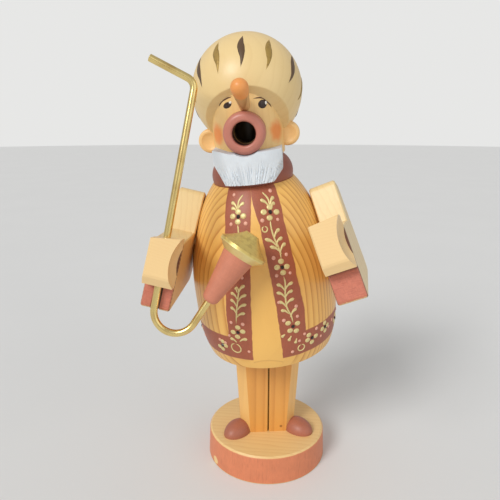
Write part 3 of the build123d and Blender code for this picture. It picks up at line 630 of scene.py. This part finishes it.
class SMOKER_OT_coat(Piece, bpy.types.Operator):
    """Pine coat with brick-red front bands and hem, and the painted neck ring"""
    bl_idname = "smoker.coat"
    bl_label = "Coat and collar"

    EDGES = {  # band edges as (height, azimuth)
        "left_outer": ((0, -27.6), (26, -27.0), (40, -24.0), (61, -26.0), (74, -31.0)),
        "left_inner": ((4, -10.2), (28, -6.4), (45, -4.0), (61, -1.6), (71.5, 0.9)),
        "right_inner": ((4, 13.8), (28, 12.0), (45, 9.8), (61, 6.6), (71.5, 0.9)),
        "right_outer": ((0, 34.0), (26, 33.4), (40, 30.2), (61, 29.6), (74, 33.0)),
    }
    TALL, AROUND = 80.0, 90.0  # spans that the edges are looked up in
    HEM_TOP, HEM_FOOT = 15.5, 4.7
    BORE_RADIUS = 12.0
    ARC_FOOT, ARC_RISE, ARC_BEND = 4.6, 1.6, 40.0  # the arched ring over the coat's lower edge

    def build(self, finish):
        def rings_seen(x, *_):
            """Rings show on the flanks and hardly in the middle of the front."""
            return (abs(x - 1.5).ramp(7.5, 12.0) * 0.92 + 0.08) * finish.ring_strength

        paint = Paint("coat_pine")
        pine, height = wood(paint, (248, 194, 104), (196, 126, 52), rings=(-0.12, -1.0, 0.0),
                            spacing=2.1, wander=0.3, strength=rings_seen, fibre=0.16)
        x, y, z = paint.parts()
        around = bearing(x, y)
        wobble = (paint.noise(0.3) - 0.5) * 1.6
        share = z / self.TALL
        right_of = {}
        for name, line in self.EDGES.items():
            stops = [(level / self.TALL, azimuth / self.AROUND + 0.5) for level, azimuth in line]
            edge = paint.curve(share, stops) * self.AROUND - self.AROUND / 2
            right_of[name] = (around + wobble - edge).ramp(-0.35, 0.35)
        left = right_of["left_outer"] * (1.0 - right_of["left_inner"])
        right = right_of["right_inner"] * (1.0 - right_of["right_outer"])
        opening = right_of["left_inner"] * (1.0 - right_of["right_inner"])
        hem = (1.0 - opening) * (1.0 - (z + wobble * 0.3).ramp(self.HEM_TOP, self.HEM_TOP + 0.5))
        above = (z + wobble * 0.25).ramp(self.HEM_FOOT, self.HEM_FOOT + 0.4)
        band = left.math("MAXIMUM", right).math("MAXIMUM", hem) * above
        brick, streaks = painted(paint, (168, 90, 62), 0.16)
        sooty = 1.0 - reach(x, y).ramp(self.BORE_RADIUS, self.BORE_RADIUS + 1.5)
        outside = paint.mix(band, pine, brick)
        arc = (z - self.ARC_FOOT) / self.ARC_RISE + x * x / self.ARC_BEND
        arched = (1.0 - abs(arc).ramp(0.0, 0.35)) * opening * 0.35
        outside = paint.mix(arched, outside, (196, 132, 66))
        paint.finish(paint.mix(sooty * 0.75, outside, (70, 48, 34)),
                     Roughness=band * 0.14 + 0.36, Coat_Weight=0.12, Coat_Roughness=0.25)
        paint.relief(height * (1.0 - band * 0.6) + band * 0.8 + streaks * 0.2, 0.07)
        cover("coat", paint)

        paint = plain_paint("collar_paint", UPPER, (150, 84, 66), 0.18, 0.06,
                            Roughness=0.5, Coat_Weight=0.15, Coat_Roughness=0.3)
        cover("collar", paint)


class SMOKER_OT_ornament(Piece, bpy.types.Operator):
    """Brushed gold vines, petals and rings, pink dots and black stones on the bands and hem"""
    bl_idname = "smoker.ornament"
    bl_label = "Ornament on the coat"

    STEM = (0.3, 0.36, 0.36, 0.25)
    PETAL, BACK_PETAL = (1.25, 1.05), (1.15, 0.95)
    LEAF, RING, DOT, BACK_DOT, STONE = 0.72, 0.28, 0.72, 0.7, 0.85
    STONE_RISE = 0.5
    HEM = 10.8
    BACK_FLOWERS, BACK_FROM, BACK_STEP = 12, 76.0, 18.9
    BACK_PETALS = ((0.0, 1.9), (3.6, 0.1), (0.0, -2.0), (-3.6, -0.1))
    BACK_DOTS = ((9.2, 1.9), (9.9, -2.1))

    def build(self, finish):
        rise = finish.paint_rise / MM
        gold, dots, stones = (Brush(on_coat, k) for k in (rise, rise * 1.3, self.STONE_RISE))
        for line in STEMS:
            gold.stroke(line, self.STEM)
        for leaf in LEAVES:
            gold.leaf(leaf[:2], leaf[2:], self.LEAF)
        for flower in FLOWERS:
            for azimuth, height in flower[1:]:
                gold.dab(azimuth, height, *self.PETAL)
            stones.gem(*flower[0], self.STONE)
        for azimuth, height, radius in RINGS:
            gold.ring(azimuth, height, radius, self.RING)
        for place, (azimuth, height) in enumerate(BAND_DOTS):
            dots.dab(azimuth, height, self.DOT + 0.08 * (place % 3 - 1))
        for step in range(self.BACK_FLOWERS):
            azimuth = self.BACK_FROM + self.BACK_STEP * step
            for aside, up in self.BACK_PETALS:
                gold.dab(azimuth + aside, self.HEM + up, *self.BACK_PETAL)
            stones.gem(azimuth, self.HEM, self.STONE)
            for aside, up in self.BACK_DOTS:
                dots.dab(azimuth + aside, self.HEM + up, self.BACK_DOT)
        gold.piece("gold_ornament", gold_leaf(), "gold_paint")
        dots.piece("pink_dots", dab_paint("pink_dots", (236, 176, 152)), "lip_paint")
        stones.piece("band_stones", dab_paint("band_stones", (44, 30, 28), 0.16),
                     "collar_paint", smooth=False)


def gold_leaf():
    """Pale gold paint, a little metallic, worn thin here and there."""
    paint = Paint("ornament_gold")
    worn = paint.noise(1.1, 3.0)
    paint.finish(paint.mix(worn.ramp(0.5, 0.72) * 0.55, (232, 214, 150), (196, 160, 98)),
                 Metallic=worn * -0.3 + 0.35, Roughness=worn * 0.25 + 0.28)
    paint.relief(paint.noise(2.6, 3.0), 0.06)
    return paint


def dab_paint(name, colour, roughness=0.42):
    """Thick brushed paint of one colour."""
    paint = Paint(name)
    shaded, streaks = painted(paint, colour, 0.1)
    paint.finish(shaded, Roughness=streaks * 0.15 + (roughness - 0.07))
    paint.relief(streaks, 0.04)
    return paint


class SMOKER_OT_head(Piece, bpy.types.Operator):
    """Head with its flushed cheeks, lips, ears and nose, and the painted eyes with their painted
    highlights, and brows
    """
    bl_idname = "smoker.head"
    bl_label = "Head and face"

    CHEEKS = ((-52.0, 94.8), (57.0, 93.9))
    FLUSH = (1.8, 5.6)  # distances from a cheek's middle between which its red fades
    SOOT, BORE, STAIN = (9.5, 11.3), (4.6, 4.9), (7.6, 9.8)
    MOUTH_HEIGHT, LIP_FACE = 95.1, -16.6
    EYE_RISE, WHITE_RISE, BROW_RISE = 0.28, 0.42, 0.18
    BROW_WIDTHS = (0.12, 0.26, 0.3, 0.26, 0.12)

    def build(self, finish):
        paint, colour, _ = board_wood(
            "face_wood", UPPER, (246, 206, 138), (216, 164, 96), finish,
            rings=(0.3, 1.0, 0.0), spacing=2.4, wander=0.4, rings_seen=0.22, fibre=0.16, seed=2.0)
        x, y, z = paint.parts()
        around = bearing(x, y)
        blush = None
        for azimuth, level in self.CHEEKS:
            far = reach((around - azimuth) * math.radians(HEAD_RADIUS), z - level)
            spot = 1.0 - (far + (paint.noise(0.5) - 0.5) * 2.0).ramp(*self.FLUSH)
            blush = spot if blush is None else blush.math("MAXIMUM", spot)
        sooty = 1.0 - reach(x, y).ramp(*self.SOOT)
        flushed = paint.mix(blush * 0.92, colour, (243, 142, 62))
        paint.finish(paint.mix(sooty * 0.9, flushed, (48, 32, 24)))
        cover("head", paint)

        paint = Paint("lip_paint")
        x, y, z = paint.parts()
        colour, streaks = painted(paint, (197, 124, 106), 0.08)
        bore = reach(x, z - self.MOUTH_HEIGHT)
        deep = (1.0 - bore.ramp(*self.BORE)) * (y - self.LIP_FACE).ramp(0.0, 0.6)
        paint.finish(paint.mix(deep * 0.9, colour, (46, 30, 24)), Roughness=0.42,
                     Coat_Weight=0.2, Coat_Roughness=0.25)
        paint.relief(streaks, 0.04)
        cover("mouth_ring", paint)

        for side, hand in (("right", -1), ("left", 1)):
            paint, *_ = board_wood(
                side + "_ear_wood", UPPER @ shift(hand * 15.9, 0, 91.7), (252, 206, 138),
                (224, 166, 98), finish, spacing=2.0, rings_seen=0.2, seed=6.0 + hand)
            cover(side + "_ear", paint)

        paint, colour, _ = board_wood("nose_wood", NOSE, (216, 170, 110), (166, 116, 66), finish,
                                      spacing=1.6)
        *_, z = paint.parts()
        stain = (z + (paint.noise(0.6) - 0.5) * 2.2).ramp(*self.STAIN)
        paint.finish(paint.mix(stain * 0.9, colour, (243, 158, 82)))
        cover("nose", paint)

        eyes, highlights, brows = (Brush(on_head, rise) for rise in
                               (self.EYE_RISE, self.WHITE_RISE, self.BROW_RISE))
        # Dark eyes, then small white dabs on them as painted highlights
        for brush, dabs in ((eyes, EYES), (highlights, EYE_HIGHLIGHTS)):
            for dab in dabs:
                brush.dab(*dab)
        for line in BROWS:
            brows.stroke(line, self.BROW_WIDTHS)
        eyes.piece("eyes", dab_paint("eye_paint", (52, 34, 28), 0.25), "collar_paint")
        highlights.piece("eye_highlights", dab_paint("eye_highlight", (238, 234, 222), 0.3), "beard_paint")
        brows.piece("brows", dab_paint("brow_paint", (92, 54, 36), 0.45), "collar_paint")


class SMOKER_OT_beard(Piece, bpy.types.Operator):
    """Carved blue-white beard with its fan of grooves"""
    bl_idname = "smoker.beard"
    bl_label = "Beard"

    FRONT = 19.9
    FOOT, TOP = 76.0, 88.1
    HALF_WIDTH, FOOT_HALF_WIDTH = 13.4, 9.6
    CHEEK, CORNER = 84.2, 80.0  # heights where the solid's sides and the carved left one turn in
    FACET_FROM, FACET_DROP = 4.0, 0.8
    LIFT_FROM, LIFT_RUN, LIFT_ABOVE, LIFT = -5.0, 8.0, 85.0, 1.5
    CUTS, CUT_STEP, LEVELS = 46, 0.95, 13
    GROOVES, FAN, SPREAD = 22, 84.0, 0.035
    GROOVE_TOP, RUN_IN, DEPTH = 84.2, 3.5, 0.42

    def build(self, finish):
        mesh = bmesh.new()
        mesh.from_mesh(NODES["beard"].data)
        bmesh.ops.remove_doubles(mesh, verts=mesh.verts, dist=0.00001)
        for step in range(-self.CUTS, self.CUTS + 1):
            angle = math.radians(step * self.CUT_STEP)
            self.cut(mesh, Vector((0, 0, 0)), Vector((math.cos(angle), math.sin(angle), 0)))
        for level in range(self.LEVELS):
            self.cut(mesh, Vector((0, 0, self.FOOT + level)), Vector((0, 0, 1)))
        bmesh.ops.remove_doubles(mesh, verts=mesh.verts, dist=0.00001)
        bmesh.ops.triangulate(mesh, faces=mesh.faces)
        back = UPPER.inverted()
        for vert in mesh.verts:
            spot = self.faceted(back @ vert.co / MM)
            vert.co = UPPER @ (spot * MM)
            if math.hypot(spot.x, spot.y) >= self.FRONT - 0.25:
                out = TILT @ Vector((spot.x, spot.y, 0)).normalized()
                vert.co -= out * self.groove_depth(spot) * MM
        paint = Paint("beard_paint")
        x, y, _ = paint.parts()
        # Painted shade: the grooves and the faces set back from the carved front are painted
        # greyer.
        groove_shade = 1.0 - reach(x, y).ramp(self.FRONT - 0.5, self.FRONT - 0.1)
        colour, streaks = painted(paint, (228, 235, 241), 0.04)
        paint.finish(paint.mix(groove_shade * 0.35, colour, (168, 176, 186)), Roughness=0.55)
        paint.relief(streaks, 0.08)
        piece = make_piece("carved_beard", mesh, paint, "figure", smooth=False)
        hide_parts("beard")

    def groove_depth(self, spot):
        """Depth at a place of the uneven grooves that fan out from above."""
        azimuth = math.degrees(math.atan2(spot.x, -spot.y))
        fan = azimuth / (1.0 - self.SPREAD * (self.TOP - spot.z))
        uneven = fan + 1.6 * math.sin(fan * 0.31) + 0.8 * math.sin(fan * 0.83 + 1.0)
        wave = 0.5 + 0.5 * math.cos(math.radians(uneven * 360.0 * self.GROOVES / self.FAN))
        start = self.GROOVE_TOP + 1.1 * math.sin(fan * 0.4)
        return self.DEPTH * wave ** 2 * clamp((start - spot.z) / self.RUN_IN)

    def side_at(self, height, corner, foot):
        """Half width of the block at a height, with straight sides above a corner."""
        share = clamp((height - self.FOOT) / (corner - self.FOOT))
        return foot + share * (self.HALF_WIDTH - foot)

    def faceted(self, spot):
        """Widen the block's left side into a facet, and lift its right top corner."""
        radius = math.hypot(spot.x, spot.y)
        if spot.x > self.FACET_FROM and spot.z < self.CHEEK:
            edge = self.side_at(spot.z, self.CHEEK, self.FOOT_HALF_WIDTH)
            wide = self.side_at(spot.z, self.CORNER, self.FOOT_HALF_WIDTH + 0.2)
            share = min(1.0, (spot.x - self.FACET_FROM) / (edge - self.FACET_FROM))
            x = min(spot.x + (wide - edge) * share ** 2, radius * 0.98)
            if radius > self.FRONT - 1.0:
                radius -= self.FACET_DROP * max(0.0, x - edge)
            return Vector((x, -math.sqrt(radius * radius - x * x), spot.z))
        if spot.x < self.LIFT_FROM and spot.z > self.LIFT_ABOVE:
            share = min(1.0, (self.LIFT_FROM - spot.x) / self.LIFT_RUN)
            level = (spot.z - self.LIFT_ABOVE) / (self.TOP - self.LIFT_ABOVE)
            return spot + Vector((0, 0, self.LIFT * share ** 2 * (3.0 - 2.0 * share) * level))
        return spot

    def cut(self, mesh, spot, normal):
        """Divide the faces along a plane of the upper half's frame."""
        bmesh.ops.bisect_plane(mesh, geom=mesh.verts[:] + mesh.edges[:] + mesh.faces[:],
                               dist=0.0000001, plane_co=UPPER @ (spot * MM),
                               plane_no=TILT @ normal)


class SMOKER_OT_turban(Piece, bpy.types.Operator):
    """Pale turned turban with its dark and gold brush strokes"""
    bl_idname = "smoker.turban"
    bl_label = "Turban"

    RISE = 0.2
    WIDTHS = (0.08, 0.85, 1.4, 1.25, 0.85, 0.45, 0.08)

    def build(self, finish):
        paint, *_ = board_wood(
            "turban_wood", TURBAN, (238, 208, 148), (212, 172, 108), finish,
            rings=(0.4, 1.0, 0.3), spacing=3.4, wander=0.4, fibre=0.12, rings_seen=0.16, seed=1.5)
        cover("turban", paint)
        dark, gold = Brush(on_turban, self.RISE), Brush(on_turban, self.RISE)
        for place, azimuth in enumerate(STROKE_PLACES):
            line = [(azimuth + aside, TURBAN_RADIUS * math.radians(latitude))
                    for aside, latitude in STROKE_LINE]
            (gold if place % 2 else dark).stroke(line, self.WIDTHS, rings=26)
        dark.piece("dark_strokes", dab_paint("dark_stroke", (96, 72, 48)), "collar_paint")
        gold.piece("gold_strokes", stroke_gold(), "gold_paint")


def stroke_gold():
    """Olive gold of the turban's strokes."""
    paint = Paint("stroke_gold", TURBAN)
    worn = paint.noise(0.9, 3.0)
    paint.finish(paint.mix(worn.ramp(0.45, 0.75) * 0.6, (176, 144, 76), (130, 102, 54)),
                 Metallic=worn * -0.3 + 0.5, Roughness=worn * 0.2 + 0.35)
    paint.relief(worn, 0.05)
    return paint


class SMOKER_OT_arms(Piece, bpy.types.Operator):
    """Sawn sleeves with their painted cuffs, and the light hands"""
    bl_idname = "smoker.arms"
    bl_label = "Sleeves and hands"

    CUFF, TRIM = (0.3, 0.6), (1.0, 1.5)  # depths at which the paints of the cuff's end stop
    WORN, DARK = (-27.0, -24.5), (-16.0, -14.5)  # heights of its worn foot and dark top
    RIM, FACE, INNER = 5.0, 5.3, (5.1, 5.45)  # half widths
    SLOT_FROM, SLOT_TO, SLOT_HALF = 0.15, 2.4, 1.85

    def build(self, finish):
        for side, seed in (("right", 3.0), ("left", 8.0)):
            paint, colour, height = board_wood(
                side + "_sleeve_wood", CUFFS[side], (240, 212, 154), (206, 162, 100),
                finish, rings=(1.0, 0.2, 0.1), spacing=2.4, wander=0.5, grain="y",
                rings_seen=0.25, fibre=0.14, seed=seed)
            x, y, z = paint.parts()
            inward = x if side == "right" else x * -1.0
            rough = paint.noise(1.6, 4.0)
            near = y - (rough - 0.5) * 0.9
            cuff = 1.0 - near.ramp(*self.CUFF)
            red, _ = painted(paint, (206, 122, 98), 0.2)
            grain = paint.noise(1.2, 3.0, stretch=(0.3, 1.0, 2.0))
            ends = paint.mix(grain.ramp(0.45, 0.7) * 0.4, red, (170, 84, 62))
            worn = paint.mix(1.0 - z.ramp(*self.WORN), ends, (226, 138, 92))
            face = paint.mix(z.ramp(*self.DARK) * 0.9, worn, (96, 56, 32))
            # Painted shade: the inner face, turned to the coat, is painted orange for the shade
            # and warm light on it.
            shaded_wood = paint.mix(inward.ramp(*self.INNER) * 0.55, colour, (222, 158, 70))
            trim = (abs(x) > self.RIM) * (1.0 - near.ramp(*self.TRIM))
            if side == "right":
                dotted = (z * 4.2 + rough * 3.0).math("SINE").ramp(-0.5, 0.4)
                trim = trim * (dotted * 0.5 + 0.5)
                # Painted shade: the slot beside the rod is painted near-black.
                slot = (y > self.SLOT_FROM) * (abs(x) < self.SLOT_HALF) * (y < self.SLOT_TO)
                shaded_wood = paint.mix(slot * 0.9, shaded_wood, (40, 22, 14))
            bare = paint.mix(trim * 0.85, shaded_wood, (104, 54, 30))
            faced = cuff * (1.0 - (abs(x) > self.FACE) * 0.6)
            paint.finish(paint.mix(faced, bare, face))
            paint.relief(height + rough * cuff * 0.8, 0.09)
            cover(side + "_sleeve", paint)

            paint, *_ = board_wood(
                side + "_hand_wood", CUFFS[side], (245, 208, 148), (220, 170, 106), finish,
                rings=(0.1, 0.2, 1.0), spacing=1.1, wander=0.5, grain="x", rings_seen=0.13,
                seed=seed + 1.0)
            cover(side + "_hand", paint)


class SMOKER_OT_pipe(Piece, bpy.types.Operator):
    """Brass stem, matt bowl and brushed gold lid"""
    bl_idname = "smoker.pipe"
    bl_label = "Pipe"

    LID_RIM = (2.2, 3.2)  # heights over the bowl between which the lid's pale edge ends

    def build(self, finish):
        paint = Paint("brass", ROD, Metallic=1.0)
        drawn = paint.noise(2.4, 3.0, stretch=(1.0, 1.0, 0.08))
        tarnish = paint.noise(0.12, 3.0)
        paint.finish(paint.mix(tarnish.ramp(0.42, 0.7) * 0.5, (244, 218, 146), (190, 146, 78)),
                     Roughness=drawn * 0.12 + 0.2)
        paint.relief(drawn, 0.01)
        cover("pipe_stem", paint)

        paint = Paint("bowl_paint", BOWL)
        colour, streaks = painted(paint, (207, 130, 102), 0.09)
        turned = paint.noise(1.0, 3.0, stretch=(0.05, 0.05, 1.6))
        paint.finish(paint.shade(colour, turned * 0.12 + 0.94), Roughness=0.55)
        paint.relief(turned + streaks * 0.4, 0.06)
        cover("pipe_bowl", paint)

        paint = Paint("lid_gold", BOWL @ shift(0, 0, BOWL_LENGTH))
        *_, z = paint.parts()
        brushed = paint.noise(1.2, 3.0, stretch=(0.3, 0.3, 2.4))
        worn = paint.noise(0.55, 3.0)
        lower = 1.0 - z.ramp(*self.LID_RIM)
        gilt = paint.mix(worn.ramp(0.45, 0.75) * 0.5, (228, 202, 120), (180, 148, 80))
        paint.finish(paint.mix(lower * 0.7, gilt, (252, 242, 176)), Metallic=0.6,
                     Roughness=brushed * 0.22 + 0.26)
        paint.relief(brushed, 0.06)
        cover("pipe_lid", paint)


class SMOKER_OT_stage(bpy.types.Operator):
    """Camera, pale floor and soft studio light"""
    bl_idname = "smoker.stage"
    bl_label = "Camera, floor and light"
    bl_options = {"REGISTER", "UNDO"}

    PALE, WHITE = (0.8, 0.8, 0.79), (1.0, 1.0, 1.0)
    FLOOR_RADIUS, FLOOR_DROP = 4.0, 0.0002
    LIGHTS = (("key", (-0.75, -0.85, 0.95), 22.0, 1.0),  # place, degrees wide, share of the key
              ("fill", (0.9, -0.9, 0.6), 50.0, 0.2))
    AIM = Vector((0, 0, 0.1))
    VIEW_PLACE, VIEW_ANGLES = (-0.02459, -0.22077, 0.15756), (75.94, 0.0, -4.24)
    LENS = SENSOR = 36.0
    NEAREST = 0.01

    def execute(self, context):
        scene = context.scene
        settings = scene.smoker_stage
        mesh = bmesh.new()
        bmesh.ops.create_circle(mesh, cap_ends=True, segments=96, radius=self.FLOOR_RADIUS,
                                matrix=Matrix.Translation((0, 0, -self.FLOOR_DROP)))
        data = bpy.data.meshes.new("floor")
        mesh.to_mesh(data)
        mesh.free()
        floor = add("floor", data)
        paint = Paint("floor", GROUND)
        cloud = paint.noise(0.01)
        paint.finish(paint.shade(tuple(settings.floor), cloud * 0.04 + 0.98), Roughness=0.9)
        data.materials.append(paint.material)

        for name, spot, width, share in self.LIGHTS:
            data = bpy.data.lights.new(name, "SUN")
            data.angle = math.radians(width)
            data.energy = settings.key_level * share
            lamp = add(name, data)
            lamp.location = spot
            lamp.rotation_euler = (Vector(spot) - self.AIM).to_track_quat("Z", "Y").to_euler()

        world = bpy.data.worlds.new("studio")
        scene.world = world
        world.use_nodes = True
        tree = world.node_tree
        tree.nodes.clear()
        path, seen, felt, choose, out = (tree.nodes.new(kind) for kind in (
            "ShaderNodeLightPath", "ShaderNodeBackground", "ShaderNodeBackground",
            "ShaderNodeMixShader", "ShaderNodeOutputWorld"))
        for made, colour, level in ((seen, self.PALE, 1.0), (felt, self.WHITE, settings.ambient)):
            made.inputs["Color"].default_value = (*colour, 1.0)
            made.inputs["Strength"].default_value = level
        for start, end in ((path.outputs["Is Camera Ray"], choose.inputs[0]),
                           (felt.outputs[0], choose.inputs[1]),
                           (seen.outputs[0], choose.inputs[2]),
                           (choose.outputs[0], out.inputs["Surface"])):
            tree.links.new(start, end)

        lens = bpy.data.cameras.new("view")
        lens.lens, lens.sensor_width, lens.clip_start = self.LENS, self.SENSOR, self.NEAREST
        camera = add("view", lens)
        camera.location = self.VIEW_PLACE
        camera.rotation_euler = [math.radians(angle) for angle in self.VIEW_ANGLES]
        scene.camera = camera
        scene.view_settings.view_transform = "Standard"
        return {"FINISHED"}


class SMOKER_PT_looks(bpy.types.Panel):
    """Sidebar panel with the settings and one button a group"""
    bl_idname = "SMOKER_PT_looks"
    bl_label = "Incense smoker"
    bl_space_type = "VIEW_3D"
    bl_region_type = "UI"
    bl_category = "Smoker"

    def draw(self, context):
        scene = context.scene
        for settings in (scene.smoker_finish, scene.smoker_stage):
            for name in settings.__annotations__:
                self.layout.prop(settings, name)
        for operator in OPERATORS:
            self.layout.operator(operator.bl_idname)


OPERATORS = (SMOKER_OT_base, SMOKER_OT_inside, SMOKER_OT_coat, SMOKER_OT_ornament,
             SMOKER_OT_head, SMOKER_OT_beard, SMOKER_OT_turban, SMOKER_OT_arms,
             SMOKER_OT_pipe, SMOKER_OT_stage)
CLASSES = (SmokerFinish, SmokerStage) + OPERATORS + (SMOKER_PT_looks,)


def register():
    """Add the classes and the scene's settings."""
    for entry in CLASSES:
        bpy.utils.register_class(entry)
    bpy.types.Scene.smoker_finish = PointerProperty(type=SmokerFinish)
    bpy.types.Scene.smoker_stage = PointerProperty(type=SmokerStage)


def unregister():
    """Remove the settings and the classes."""
    del bpy.types.Scene.smoker_stage
    del bpy.types.Scene.smoker_finish
    for entry in reversed(CLASSES):
        bpy.utils.unregister_class(entry)


def main():
    """Dress the whole object."""
    register()
    for operator in OPERATORS:
        group, name = operator.bl_idname.split(".")
        getattr(getattr(bpy.ops, group), name)()


if __name__ == "__main__":
    main()
